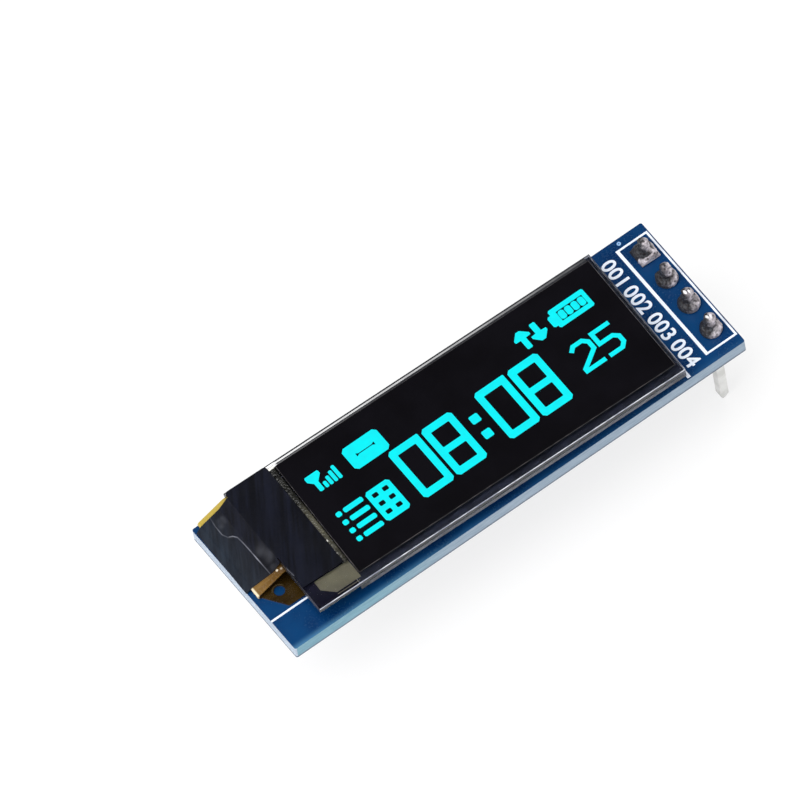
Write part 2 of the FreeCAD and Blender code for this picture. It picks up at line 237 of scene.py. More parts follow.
def plainFinish(name, main, other, patches, grain, gloss, bump, metal=0.0, specular=0.5):
    # one varied finish with grain: most of the small parts use this as it is
    tone = screenColours(main=main, other=other)
    material, tree, shader, position = startMaterial(name)
    finish = varied(tree, position, tone["main"], tone["other"], patches, grain, gloss)
    addSurface(tree, shader, finish["Colour"], finish, bump)
    setInputs(tree, shader, {"Metallic": metal, "Specular IOR Level": specular})
    return material


def makeBoardFinish():
    tone = screenColours(
        mask=(6, 56, 102), maskPatch=(4, 44, 87), bright=(84, 136, 170), edge=(146, 162, 178),
        edgePatch=(124, 143, 160), teal=(122, 162, 178), tealPatch=(102, 144, 162), end=(170, 182, 196),
        endPatch=(154, 166, 182), low=(96, 106, 120))
    place = {"tealX": (-22.0, -31.0), "endX": -36.6, "lowHeight": 2.16, "bottom": 2.0, "top": 3.2,
             "maskDepth": 0.03, "brightY": (-5.5, -6.12), "brightX": (-18.0, -33.0),
             "brightShare": (0.1, 0.6)}
    edgeRoughness = 0.6
    material, tree, shader, position = startMaterial("solderMaskBoard")
    mask = varied(tree, position, tone["mask"], tone["maskPatch"], patches=0.35, grain=6.0, gloss=(0.2, 0.3))
    layers = streakMask(tree, position, turn=0.0, stretch=(1.7, 1.7, 0.14), scale=1.6)
    apart = splitAxes(tree, position)
    long = mixColour(tree, layers, tone["edge"], tone["edgePatch"])
    teal = mixColour(tree, layers, tone["teal"], tone["tealPatch"])
    long = mixColour(tree, remap(tree, apart["X"], *place["tealX"]), long, teal)
    # painted light: the short left end is painted paler than the long front edge
    short = mixColour(tree, layers, tone["end"], tone["endPatch"])
    edge = mixColour(tree, mathNode(tree, "LESS_THAN", apart["X"], place["endX"]), long, short)
    edge = mixColour(tree, mathNode(tree, "LESS_THAN", apart["Z"], place["lowHeight"]), edge, tone["low"])
    middle = (place["bottom"] + place["top"]) / 2
    limit = (place["top"] - place["bottom"]) / 2 - place["maskDepth"]
    offMiddle = mathNode(tree, "ABSOLUTE", mathNode(tree, "SUBTRACT", apart["Z"], middle))
    onFace = mathNode(tree, "GREATER_THAN", offMiddle, limit)
    # painted light: the face is painted paler toward its front edge, most of all at the flexible circuit's
    # end
    share = times(tree, remap(tree, apart["Y"], *place["brightY"]),
                  remap(tree, apart["X"], *place["brightX"], *place["brightShare"]))
    face = mixColour(tree, share, mask["Colour"], tone["bright"])
    finish = {"Roughness": mixValue(tree, onFace, edgeRoughness, mask["Roughness"]),
              "Height": mixValue(tree, onFace, layers, mask["Height"])}
    addSurface(tree, shader, mixColour(tree, onFace, edge, face), finish, bump=0.05)
    setInputs(tree, shader, {"Specular IOR Level": 0.3})
    return material


def makeGlassFinish():
    tone = screenColours(tint=(226, 228, 234), clear=(240, 242, 246), side=(236, 238, 255),
                         sidePatch=(216, 220, 250))
    material, tree, shader, position = startMaterial("cutGlass")
    finish = varied(tree, position, tone["tint"], tone["clear"], patches=0.5, grain=9.0, gloss=(0.0, 0.02))
    sides = varied(tree, position, tone["side"], tone["sidePatch"], patches=1.5, grain=6.0, gloss=(0.3, 0.5))
    cut = marked(tree, "cutSide")
    setInputs(tree, shader, {
        "Base Color": mixColour(tree, cut, finish["Colour"], sides["Colour"]),
        "Roughness": mixValue(tree, cut, finish["Roughness"], sides["Roughness"]),
        "Transmission Weight": 1.0, "IOR": 1.52})
    # light from the lamps passes straight through
    path = addNode(tree, "ShaderNodeLightPath")
    passing = addNode(tree, "ShaderNodeBsdfTransparent", {"Color": tone["tint"]})
    output = next(n for n in tree.nodes if n.type == "OUTPUT_MATERIAL")
    mixed = addNode(tree, "ShaderNodeMixShader", {
        0: path.outputs["Is Shadow Ray"], 1: shader.outputs[0], 2: passing.outputs[0]})
    tree.links.new(mixed.outputs[0], output.inputs["Surface"])
    return material


def makePictureFinish():
    tone = screenColours(glow=(18, 246, 252), glowPatch=(24, 238, 246))
    unlit = (0.0, 0.01, 0.012, 1.0)
    material, tree, shader, position = startMaterial("litPixels")
    finish = varied(tree, position, tone["glow"], tone["glowPatch"], patches=1.5, grain=5.0,
                    gloss=(0.1, 0.16))
    setInputs(tree, shader, {"Base Color": unlit, "Emission Color": finish["Colour"],
                             "Emission Strength": 1.0, "Roughness": finish["Roughness"]})
    return material


def makeFilmFinish():
    tone = screenColours(main=(11, 10, 13), other=(14, 13, 17), rim=(66, 63, 64))
    patchRange, rimShare = (0.45, 0.68), (0.5, 1.6)
    material, tree, shader, position = startMaterial("displayFilm")
    finish = varied(tree, position, tone["main"], tone["other"], patches=0.25, grain=3.0, gloss=(0.06, 0.12))
    # painted highlight: the rounded edge of the film is painted paler, in patches
    patchy = remap(tree, noiseValue(tree, position, 1.7, 2.0), *patchRange, *rimShare)
    share = times(tree, marked(tree, "rim"), patchy)
    addSurface(tree, shader, mixColour(tree, share, finish["Colour"], tone["rim"]), finish, bump=0.03)
    return material


def makeTapeFinish():
    tone = screenColours(
        main=(19, 24, 33), other=(23, 28, 37), streak=(36, 45, 56), worn=(128, 130, 140), deep=(7, 8, 15),
        deepStreak=(20, 23, 37))
    streakAngle, streakShare = math.radians(-32), 0.7
    material, tree, shader, position = startMaterial("blackTape")
    finish = varied(tree, position, tone["main"], tone["other"], patches=0.6, grain=7.0, gloss=(0.3, 0.42))
    lines = streakMask(tree, position, streakAngle, stretch=(1.0, 14.0, 3.0), scale=2.2)
    share = times(tree, lines, streakShare)
    low = mixColour(tree, share, finish["Colour"], tone["streak"])
    # painted shade: the tape is painted darker where it lies raised over the ledge
    high = mixColour(tree, share, tone["deep"], tone["deepStreak"])
    colour = mixColour(tree, marked(tree, "raised"), low, high)
    # painted highlight and wear: pale along the crease, with painted sheen patches and a painted highlight
    # along one cut edge
    colour = mixColour(tree, marked(tree, "wearAndSheen"), colour, tone["worn"])
    addSurface(tree, shader, colour, finish, bump=0.25, height=lines)
    setInputs(tree, shader, {"Specular IOR Level": 0.2})
    return material


def makeFlexFinish():
    tone = screenColours(
        amber=(88, 61, 16), deep=(72, 48, 10), line=(146, 112, 58), pale=(110, 82, 38), end=(214, 200, 168),
        tail=(38, 25, 4), tailLine=(52, 37, 7), back=(168, 146, 62), rim=(84, 72, 50), glint=(214, 204, 184))
    place = {"paleX": (-34.4, -36.0), "endX": (-36.24, -36.34), "tailHeight": (3.32, 3.42),
             "backY": (4.7, 5.0), "hole": (-34.9, -1.67, 3.3), "rim": (0.4, 0.47, 0.56),
             "rimY": (-1.6, -1.35), "glintSize": (0.05, 0.12),
             "glints": (((-34.42, -0.93, 4.54), 1.0), ((-34.12, -1.04, 4.63), 0.45))}
    paleShare, lineShare = 0.75, 0.3
    material, tree, shader, position = startMaterial("amberFilm")
    finish = varied(tree, position, tone["amber"], tone["deep"], patches=0.9, grain=8.0, gloss=(0.18, 0.32))
    lines = streakMask(tree, position, turn=0.016, stretch=(8.0, 1.0, 5.0), scale=2.2)
    apart = splitAxes(tree, position)
    # painted light: the strip is painted paler toward the bend
    along = times(tree, remap(tree, apart["X"], *place["paleX"]), paleShare)
    colour = mixColour(tree, along, finish["Colour"], tone["pale"])
    colour = mixColour(tree, times(tree, lines, lineShare), colour, tone["line"])
    # painted highlight at the outer end of the bend
    colour = mixColour(tree, remap(tree, apart["X"], *place["endX"]), colour, tone["end"])
    # painted shade: the lower layer lying on the board is painted dark
    tail = mixColour(tree, lines, tone["tail"], tone["tailLine"])
    colour = mixColour(tree, remap(tree, apart["Z"], *place["tailHeight"]), tail, colour)
    # painted highlight: a pale rim on the back side of the front alignment hole, then two painted glints at
    # the bend
    inner, middle, outer = place["rim"]
    fromHole = distanceFrom(tree, position, place["hole"])
    rim = times(tree, remap(tree, fromHole, inner, middle), remap(tree, fromHole, outer, middle))
    rim = times(tree, rim, remap(tree, apart["Y"], *place["rimY"]))
    colour = mixColour(tree, rim, colour, tone["rim"])
    small, large = place["glintSize"]
    for glint, strength in place["glints"]:
        share = remap(tree, distanceFrom(tree, position, glint), large, small, 0.0, strength)
        colour = mixColour(tree, share, colour, tone["glint"])
    # painted light: the back ear is painted bright yellow, as if lit through the film
    colour = mixColour(tree, remap(tree, apart["Y"], *place["backY"]), colour, tone["back"])
    addSurface(tree, shader, colour, finish, bump=0.2, height=lines)
    setInputs(tree, shader, {"Coat Weight": 0.4})
    return material


def makeSolderFinish():
    tone = screenColours(
        bright=(244, 236, 242), dull=(158, 150, 155), flux=(26, 20, 22), shade=(62, 65, 70),
        shadePatch=(33, 27, 31), facet=(240, 238, 240))
    share = {"flux": 0.85, "patches": 0.8, "litRange": (0.6, 1.15), "dull": 0.6, "metal": 0.4}
    material, tree, shader, position = startMaterial("softSolder")
    finish = varied(tree, position, tone["bright"], tone["dull"], patches=2.4, grain=6.5, gloss=(0.26, 0.5))
    spots = fleckMask(tree, position, scale=3.4, size=0.42)
    facet = marked(tree, "facet")
    flux = times(tree, times(tree, spots, share["flux"]), mathNode(tree, "SUBTRACT", 1.0, facet))
    # painted light and shade: the side toward the light is bright, the side away from it dull and dark
    patches = times(tree, noiseValue(tree, position, 2.2, 3.0), share["patches"])
    lit = remap(tree, mathNode(tree, "ADD", marked(tree, "lit"), patches), *share["litRange"])
    dark = mixColour(tree, finish["Height"], tone["shade"], tone["shadePatch"])
    colour = mixColour(tree, lit, dark, finish["Colour"])
    colour = mixColour(tree, flux, colour, tone["flux"])
    # painted glints on the pin stubs of the last two pins
    colour = mixColour(tree, facet, colour, tone["facet"])
    dull = mathNode(tree, "MAXIMUM", facet, times(tree, spots, share["dull"]))
    metal = times(tree, mathNode(tree, "SUBTRACT", 1.0, dull), share["metal"])
    addSurface(tree, shader, colour, finish, bump=0.7, depth=0.05)
    setInputs(tree, shader, {"Metallic": metal})
    return material


def makeGroundGlass():
    tone = screenColours(main=(216, 219, 228), other=(140, 144, 160), glint=(250, 250, 250),
                         dark=(34, 35, 40))
    material, tree, shader, position = startMaterial("groundGlass")
    finish = varied(tree, position, tone["main"], tone["other"], patches=1.3, grain=6.0, gloss=(0.3, 0.5))
    # painted shade where a piece marks it dark, painted highlight where it marks a glint
    colour = mixColour(tree, marked(tree, "dark"), finish["Colour"], tone["dark"])
    colour = mixColour(tree, marked(tree, "glint"), colour, tone["glint"])
    addSurface(tree, shader, colour, finish, bump=0.3)
    return material


def makeBeadFinish():
    tone = screenColours(main=(10, 10, 9), other=(26, 26, 22), bright=(108, 105, 88), glint=(240, 238, 230))
    spotShare, leastShare = 0.5, 0.45
    material, tree, shader, position = startMaterial("edgeBead")
    finish = varied(tree, position, tone["main"], tone["other"], patches=1.8, grain=5.0, gloss=(0.15, 0.4))
    spots = fleckMask(tree, position, scale=2.6, size=0.3)
    pale = times(tree, marked(tree, "shade"), mathNode(tree, "MULTIPLY_ADD", spots, spotShare, leastShare))
    colour = mixColour(tree, pale, finish["Colour"], tone["bright"])
    # painted highlights where the bead is marked with glints
    colour = mixColour(tree, marked(tree, "glint"), colour, tone["glint"])
    addSurface(tree, shader, colour, finish, bump=0.8, depth=0.04)
    return material


# name: main and other colour, size of patches and grain, range of roughness, bump
plainLooks = {
    "printedInk": ((230, 236, 246), (220, 227, 240), 1.2, 9.0, (0.45, 0.6), 0.15),
    "mouldedBlack": ((26, 26, 28), (34, 34, 37), 0.8, 10.0, (0.38, 0.55), 0.2),
    "tinnedPin": ((226, 226, 224), (206, 206, 203), 0.9, 7.0, (0.28, 0.42), 0.12),
    "sealResin": ((26, 28, 36), (38, 42, 54), 0.7, 6.0, (0.35, 0.5), 0.1),
    "unlitLayer": ((12, 13, 16), (16, 18, 24), 0.5, 4.0, (0.1, 0.2), 0.02),
    "pressedSheet": ((120, 120, 116), (134, 134, 128), 0.8, 6.0, (0.6, 0.8), 0.2),
    "traceMetal": ((116, 110, 86), (104, 99, 80), 0.8, 6.0, (0.3, 0.45), 0.05),
    "ledgeCoating": ((17, 16, 28), (21, 20, 33), 0.5, 5.0, (0.3, 0.5), 0.05),
    "silicon": ((70, 72, 80), (58, 60, 68), 0.6, 6.0, (0.08, 0.2), 0.03),
    "foamTape": ((30, 30, 31), (22, 22, 23), 2.0, 8.0, (0.7, 0.9), 0.6),
    "firedCeramic": ((166, 136, 98), (146, 118, 84), 1.6, 9.0, (0.45, 0.6), 0.2),
    "glazedBlack": ((24, 24, 27), (36, 36, 40), 1.4, 8.0, (0.2, 0.3), 0.1),
    "viaMask": ((150, 184, 222), (120, 160, 206), 2.0, 8.0, (0.2, 0.3), 0.1),
    "tinnedEnd": ((212, 210, 206), (186, 184, 180), 1.5, 7.0, (0.3, 0.45), 0.25),
}
metals = {"tinnedPin": 0.85, "traceMetal": 0.2, "silicon": 0.4, "tinnedEnd": 0.9}
speculars = {"sealResin": 0.25, "ledgeCoating": 0.1}
finishes = {name: plainFinish(name, *look, metal=metals.get(name, 0.0), specular=speculars.get(name, 0.5))
            for name, look in plainLooks.items()}
finishes.update({
    "board": makeBoardFinish(), "glass": makeGlassFinish(), "picture": makePictureFinish(),
    "displayFilm": makeFilmFinish(), "tape": makeTapeFinish(), "flex": makeFlexFinish(),
    "solder": makeSolderFinish(), "bead": makeBeadFinish(), "groundGlass": makeGroundGlass(),
})
print("finishes made:", len(finishes))

nodeFinishes = {
    "circuit_board": "board", "printed_lines": "printedInk", "header_insulator": "mouldedBlack",
    "substrate_glass": "glass", "cap_glass": "glass", "edge_seal": "sealResin", "emitter_layer": "unlitLayer",
    "desiccant_sheet": "pressedSheet", "polarizer": "displayFilm", "ledge_traces": "traceMetal",
    "ledge_coating": "ledgeCoating", "driver_chip": "silicon", "flexible_circuit": "flex",
    "contact_solder": "solder", "black_tape": "tape", "foam_tape": "foamTape", "chip_part_solder": "solder",
    "regulator_body": "mouldedBlack", "regulator_leads": "tinnedEnd",
}


def finishFor(node):
    if node in nodeFinishes:
        return nodeFinishes[node]
    if node.startswith("pin_"):
        return "tinnedPin"
    if node.startswith("solder_joint"):
        return "solder"
    if node.endswith("end_caps"):
        return "tinnedEnd"
    return "firedCeramic" if node.startswith("capacitor") else "glazedBlack"


for nodeName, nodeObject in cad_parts.items():
    for materialSlot in nodeObject.material_slots:
        materialSlot.material = finishes[finishFor(nodeName)]
print("frame dressed")


# Making pieces

def meshFrom(bm, name):
    mesh = bpy.data.meshes.new(name)
    bm.to_mesh(mesh)
    bm.free()
    return mesh


def addPiece(name, bm, finish, smooth=False):
    mesh = meshFrom(bm, name)
    mesh.materials.clear()
    mesh.materials.append(finishes[finish])
    for face in mesh.polygons:
        face.use_smooth = smooth
    piece = bpy.data.objects.new(name, mesh)
    bpy.context.scene.collection.objects.link(piece)
    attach(piece, "root")
    return piece


def copyOfNode(node):
    bm = bmesh.new()
    bm.from_mesh(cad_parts[node].data)
    bmesh.ops.remove_doubles(bm, verts=bm.verts, dist=0.001 * mm)
    bmesh.ops.dissolve_limit(bm, angle_limit=math.radians(1), verts=bm.verts, edges=bm.edges)
    return bm


def cutAcross(bm, axis, place):
    normal = Vector((0, 0, 0))
    normal[axis] = 1
    bmesh.ops.bisect_plane(bm, geom=bm.verts[:] + bm.edges[:] + bm.faces[:], dist=1e-8,
                           plane_co=normal * place, plane_no=normal)


def sliced(bm, axis, step):
    values = [v.co[axis] for v in bm.verts]
    low, length = min(values), max(values) - min(values)
    count = round(length / step)
    for i in range(1, count):
        cutAcross(bm, axis, low + length * i / count)


def extrudedVerts(bm):
    # closes the sheet's other side and gives the vertices of that side
    made = bmesh.ops.extrude_face_region(bm, geom=bm.faces[:])["geom"]
    return [item for item in made if isinstance(item, bmesh.types.BMVert)]


def bringToPlace(bm, place):
    # from millimetres about its own origin to metres in the frame
    bmesh.ops.translate(bm, vec=place, verts=bm.verts)
    bmesh.ops.scale(bm, vec=(mm, mm, mm), verts=bm.verts)


def vertexMark(bm, name):
    return bm.verts.layers.float.new(name)


def clamp(value, low=0, high=1):
    return max(low, min(high, value))


def shareBetween(value, start, end):
    # 0 up to the start, 1 from the end on
    return clamp((value - start) / (end - start))


def bandShare(value, low, high, soft):
    # 1 between low and high, falling to 0 over the soft width on each side
    return clamp((value - low) / soft + 0.5) * clamp((high - value) / soft + 0.5)


def flatShape(name, outlines, thickness, top):
    # outlines in millimetres, an outline inside another is a hole; drawn large, then brought to size
    curve = bpy.data.curves.new(name, "CURVE")
    curve.dimensions = "2D"
    curve.fill_mode = "BOTH"
    curve.extrude = thickness / 2
    for points in outlines:
        spline = curve.splines.new("POLY")
        spline.points.add(len(points) - 1)
        for point, (x, y) in zip(spline.points, points):
            point.co = (x, y, 0, 1)
        spline.use_cyclic_u = True
    return curveShape(name, curve, (0, 0, top - thickness / 2), 0)


def curveShape(name, curve, place, turn):
    carrier = bpy.data.objects.new(name, curve)
    mesh = bpy.data.meshes.new_from_object(carrier)
    bpy.data.objects.remove(carrier)
    bm = bmesh.new()
    bm.from_mesh(mesh)
    bpy.data.meshes.remove(mesh)
    bmesh.ops.remove_doubles(bm, verts=bm.verts, dist=0.0005)
    bmesh.ops.recalc_face_normals(bm, faces=bm.faces)
    bmesh.ops.rotate(bm, cent=(0, 0, 0), matrix=Matrix.Rotation(turn, 3, "Z"), verts=bm.verts)
    bringToPlace(bm, place)
    return bm


def cutBox(x0, x1, y0, y1, cut=0.0, farCut=None):
    # a box with its corners cut; farCut is for the corner at x1 and y1
    if cut == 0:
        return [(x0, y0), (x1, y0), (x1, y1), (x0, y1)]
    far = cut if farCut is None else farCut
    return [(x0 + cut, y0), (x1 - cut, y0), (x1, y0 + cut), (x1, y1 - far),
            (x1 - far, y1), (x0 + cut, y1), (x0, y1 - cut), (x0, y0 + cut)]


def strokeOutline(points, width):
    # the outline of a line drawn through the points, mitred at its corners
    line = [Vector(p) for p in points]
    sides = []
    for i, point in enumerate(line):
        before = (point - line[i - 1]).normalized() if i > 0 else (line[1] - point).normalized()
        after = (line[i + 1] - point).normalized() if i + 1 < len(line) else before
        normal = Vector((-(before + after).y, (before + after).x)).normalized()
        reach = width / 2 / normal.dot(Vector((-before.y, before.x)))
        sides.append((point + normal * reach, point - normal * reach))
    return [tuple(s[0]) for s in sides] + [tuple(s[1]) for s in reversed(sides)]


# Display: glass, film and lit picture

film = {"top": 5.18, "edgeRound": 0.045, "rim": 0.8, "frontRim": 0.4, "frontSlope": -0.1,
        "roundSlope": (0.1, 0.98)}
picture = {"thickness": 0.02, "top": 5.199, "digitStroke": 0.52, "thinStroke": 0.33}


def makeDisplayFilm():
    bm = copyOfNode("polarizer")
    bottom = min(v.co.z for v in bm.verts)
    height = max(v.co.z for v in bm.verts) - bottom
    shrink = (film["top"] * mm - bottom) / height
    for v in bm.verts:
        v.co.z = bottom + (v.co.z - bottom) * shrink
    edges = [e for e in bm.edges if all(v.co.z > bottom + height / 2 for v in e.verts)]
    bmesh.ops.bevel(bm, geom=edges, offset=film["edgeRound"] * mm, affect="EDGES", segments=2, profile=0.5,
                    material=-1)
    bm.normal_update()
    # painted highlight along the film's rounded edge, weaker on the front
    rim = bm.faces.layers.float.new("rim")
    low, high = film["roundSlope"]
    for face in bm.faces:
        strength = film["frontRim"] if face.normal.y < film["frontSlope"] else film["rim"]
        face[rim] = strength if low < face.normal.z < high else 0.0
    piece = addPiece("displayFilm", bm, "displayFilm")
    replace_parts(piece, "polarizer")


underGlass = {
    "offset": 0.006, "sealDrop": 0.03, "topBand": 0.001, "traceEnd": 0.3, "traceReach": 0.38,
    "layers": {"ledge_coating": ("ledgeCoatingLayer", "ledgeCoating", "coating_dark"),
               "ledge_traces": ("ledgeTraceLayer", "traceMetal", "trace_tan"),
               "edge_seal": ("edgeSealLayer", "sealResin", "seal_dark"),
               "emitter_layer": ("emitterPlate", "unlitLayer", "emitter_cyan"),
               "driver_chip": ("driverChipBody", "silicon", "chip_silicon")},
}


def makeUnderGlass():
    # faces that lie on the glass stand a hair off it, so that each is seen through the glass
    offset = underGlass["offset"] * mm
    for node, (name, finish, slotName) in underGlass["layers"].items():
        bm = copyOfNode(node)
        top = max(v.co.z for v in bm.verts) - underGlass["topBand"] * mm
        end = max(v.co.x for v in bm.verts) - underGlass["traceEnd"] * mm
        for v in bm.verts:
            if node == "edge_seal":
                v.co.z += -underGlass["sealDrop"] * mm if v.co.z > top else offset
            elif v.co.z > top:
                v.co.z -= offset
            if node == "ledge_traces" and v.co.x > end:
                v.co.x += underGlass["traceReach"] * mm
        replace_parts(addPiece(name, bm, finish), node)


def makeGlass():
    # the sides and arrises of the glass are marked, for a duller finish than the polished faces
    polishedSlope = 0.9
    for node, name in {"substrate_glass": "substrateGlass", "cap_glass": "capGlass"}.items():
        bm = copyOfNode(node)
        bm.normal_update()
        mark = bm.faces.layers.float.new("cutSide")
        for face in bm.faces:
            face[mark] = 1.0 if abs(face.normal.z) < polishedSlope else 0.0
        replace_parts(addPiece(name, bm, "glass"), node)


arris = {"backY": 4.0, "plainEnd": 0.5, "slope": (0.1, 0.9), "lift": 0.003, "thickness": 0.006, "step": 0.5}
backReflection = {
    "fromX": -31.0, "toX": -3.9, "edgeY": 5.275, "edgeX": -3.5, "slope": -0.02111, "width": 0.38,
    "height": 0.006, "bottom": 5.05, "soft": 0.02, "bright": (0.10, 0.225), "strength": 0.7, "dullX": -2.5,
    "brightX": -29.5, "pale": (0.30, 0.37), "paleTone": 0.12, "paleEnd": -20.0, "cornerX": -29.7,
    "cornerEdge": 0.07, "gap": (0.22, 0.26), "gapDepth": 0.7, "roughness": 0.9, "roughScale": 0.9,
    "roughRange": (0.4, 1.2),
}


def makeArris():
    # the ground corners of the upper glass catch the light as a thin line
    bm = copyOfNode("substrate_glass")
    bm.normal_update()
    end = min(v.co.x for v in bm.verts) + arris["plainEnd"] * mm
    low, high = arris["slope"]
    flat = [f for f in bm.faces if not low < f.normal.z < high or f.calc_center_median().x < end]
    bmesh.ops.delete(bm, geom=flat, context="FACES")
    bmesh.ops.translate(bm, vec=(0, 0, arris["lift"] * mm), verts=bm.verts)
    bmesh.ops.solidify(bm, geom=bm.faces[:], thickness=arris["thickness"] * mm)
    bmesh.ops.recalc_face_normals(bm, faces=bm.faces)
    sliced(bm, 0, arris["step"] * mm)
    # painted shade: the back corner is painted dark
    dark = vertexMark(bm, "dark")
    for v in bm.verts:
        v[dark] = 1.0 if v.co.y > arris["backY"] * mm else 0.0
    addPiece("groundArris", bm, "groundGlass")


def makeBackReflection():
    # painted reflection and shade: a bright line along the glass's back edge between dark bands, a faint grey
    # band inside it, and a white patch by the tape
    bm = bmesh.new()
    bmesh.ops.create_grid(bm, x_segments=140, y_segments=26, size=0.5)
    glint = vertexMark(bm, "glint")
    dark = vertexMark(bm, "dark")
    line, soft = backReflection, backReflection["soft"]
    for v in bm.verts:
        x = line["fromX"] + (line["toX"] - line["fromX"]) * (v.co.x + 0.5)
        inward = line["width"] * (0.5 - v.co.y)
        edge = line["edgeY"] + line["slope"] * (x - line["edgeX"])
        fade = shareBetween(x, line["dullX"], line["brightX"])
        patchy = noise.noise(Vector((x, 0, 2)) * line["roughScale"]) * line["roughness"]
        tone = bandShare(inward, *line["bright"], soft) * fade * line["strength"]
        tone *= clamp(1 + patchy * (1 - fade), *line["roughRange"])
        toPale = shareBetween(x, line["paleEnd"], line["brightX"])
        tone = max(tone, bandShare(inward, *line["pale"], soft) * toPale * line["paleTone"])
        if x < line["cornerX"]:
            tone = 1 - line["gapDepth"] * bandShare(inward, *line["gap"], soft)
            tone *= bandShare(inward, line["cornerEdge"], 1, soft)
        v[glint] = min(1, tone)
        v[dark] = 1.0
        v.co = (x * mm, (edge - inward) * mm, (line["bottom"] + line["height"]) * mm)
    bmesh.ops.translate(bm, vec=(0, 0, -line["height"] * 0.5 * mm), verts=extrudedVerts(bm))
    bmesh.ops.recalc_face_normals(bm, faces=bm.faces)
    addPiece("backReflection", bm, "groundGlass")


def makeLedgeLine():
    line = {"points": ((-13.45, -5.36), (-11.62, -5.38)), "width": 0.06, "thickness": 0.004, "top": 4.629,
            "skew": math.radians(-1.2), "centre": (-18.78, -0.11)}
    outline = []
    for x, y in strokeOutline(line["points"], line["width"]):
        turned = Matrix.Rotation(line["skew"], 2) @ Vector((x, y)) + Vector(line["centre"])
        outline.append(tuple(turned))
    shape = flatShape("ledgeLine", [outline], line["thickness"], line["top"])
    addPiece("ledgeLine", shape, "traceMetal")


def addLitShape(name, outlines):
    addPiece(name, flatShape(name, outlines, picture["thickness"], picture["top"]), "picture")


def makeClock():
    digits = {
        "places": {"clockDigit1": (-23.45, "0"), "clockDigit2": (-20.66, "8"),
                   "clockDigit3": (-16.19, "0"), "clockDigit4": (-13.40, "8")},
        "width": 2.54, "front": -3.19, "back": 1.33, "bar": (-1.25, -0.72), "corner": 0.22, "zeroFar": 0.06,
        "innerCorner": 0.05, "barHeight": 1.12, "colonX": -17.15, "dotsY": (-1.74, -0.27), "dotSize": 0.70,
        "dotCorner": 0.08,
    }
    stroke = picture["digitStroke"]
    bar = stroke * digits["barHeight"]
    inner = digits["innerCorner"]
    for name, (x, kind) in digits["places"].items():
        left, right = x, x + digits["width"]
        front, back = digits["front"], digits["back"]
        low, high = front + bar, back - bar
        far = digits["zeroFar"] if kind == "0" else None
        outlines = [cutBox(left, right, front, back, digits["corner"], far)]
        if kind == "8":
            outlines.append(cutBox(left + stroke, right - stroke, low, digits["bar"][0], inner))
            outlines.append(cutBox(left + stroke, right - stroke, digits["bar"][1], high, inner))
        else:
            outlines.append(cutBox(left + stroke, right - stroke, low, high, inner))
        addLitShape(name, outlines)
    half = digits["dotSize"] / 2
    x = digits["colonX"]
    dots = [cutBox(x - half, x + half, y - half, y + half, digits["dotCorner"]) for y in digits["dotsY"]]
    addLitShape("clockColon", dots)


def makeEnvelope():
    shape = {"box": (-25.79, -22.87, 1.57, 3.53), "corner": 0.24, "slit": (-25.09, -23.57), "slitY": 2.565,
             "slitHalf": 0.04, "forkLength": 0.2, "forkHalf": 0.15}
    x0, x1 = shape["slit"]
    y, half = shape["slitY"], shape["slitHalf"]
    wide, run = shape["forkHalf"], shape["forkLength"]
    slit = [(x0, y - wide), (x0 + run, y - half), (x1 - run, y - half), (x1, y - wide),
            (x1, y + wide), (x1 - run, y + half), (x0 + run, y + half), (x0, y + wide)]
    addLitShape("envelopeIcon", [cutBox(*shape["box"], shape["corner"]), slit])


def makeSignal():
    mast = [(-28.90, 3.33), (-27.92, 3.33), (-27.84, 3.24), (-27.84, 3.02), (-28.30, 2.56), (-28.30, 1.86),
            (-28.37, 1.79), (-28.58, 1.79), (-28.65, 1.86), (-28.65, 2.56), (-28.98, 2.92), (-28.98, 3.24)]
    bars = {"left": -28.16, "pitch": 0.375, "width": 0.27, "bottom": 1.78, "corner": 0.07,
            "tops": (2.32, 2.55, 2.76, 2.98)}
    outlines = [mast]
    for i, top in enumerate(bars["tops"]):
        x = bars["left"] + i * bars["pitch"]
        outlines.append(cutBox(x, x + bars["width"], bars["bottom"], top, bars["corner"]))
    addLitShape("signalIcon", outlines)


def makeListIcons():
    rows = {"left": -28.95, "dot": 0.42, "gap": 0.2, "right": -26.75, "ys": (-0.62, -1.42, -2.22, -3.02),
            "height": 0.4, "corner": 0.09}
    left, dotEnd = rows["left"], rows["left"] + rows["dot"]
    outlines = []
    for y in rows["ys"]:
        for x0, x1 in ((left, dotEnd), (dotEnd + rows["gap"], rows["right"])):
            outlines.append(cutBox(x0, x1, y, y + rows["height"], rows["corner"]))
    addLitShape("listIcon", outlines)
    page = {"box": (-26.5, -24.5, -3.02, -0.22), "columns": (-26.15, -25.30), "holeWidth": 0.45,
            "rows": (-2.55, -1.75, -0.95), "holeHeight": 0.36, "corner": 0.2, "holeCorner": 0.06}
    outlines = [cutBox(*page["box"], page["corner"])]
    for x in page["columns"]:
        for y in page["rows"]:
            outlines.append(cutBox(x, x + page["holeWidth"], y, y + page["holeHeight"], page["holeCorner"]))
    addLitShape("pageIcon", outlines)


def makeArrows():
    up = [(-10.79, 3.38), (-10.28, 2.88), (-10.30, 2.70), (-10.70, 2.67), (-10.70, 1.87), (-10.76, 1.80),
          (-11.06, 1.80), (-11.13, 1.87), (-11.13, 2.67), (-11.52, 2.69), (-11.54, 2.88), (-11.08, 3.38)]
    down = [(-9.64, 1.77), (-9.17, 2.27), (-9.17, 2.46), (-9.56, 2.50), (-9.56, 3.26), (-9.63, 3.33),
            (-9.94, 3.33), (-10.01, 3.26), (-10.01, 2.50), (-10.40, 2.46), (-10.40, 2.27), (-9.96, 1.77)]
    addLitShape("arrowUp", [up])
    addLitShape("arrowDown", [down])


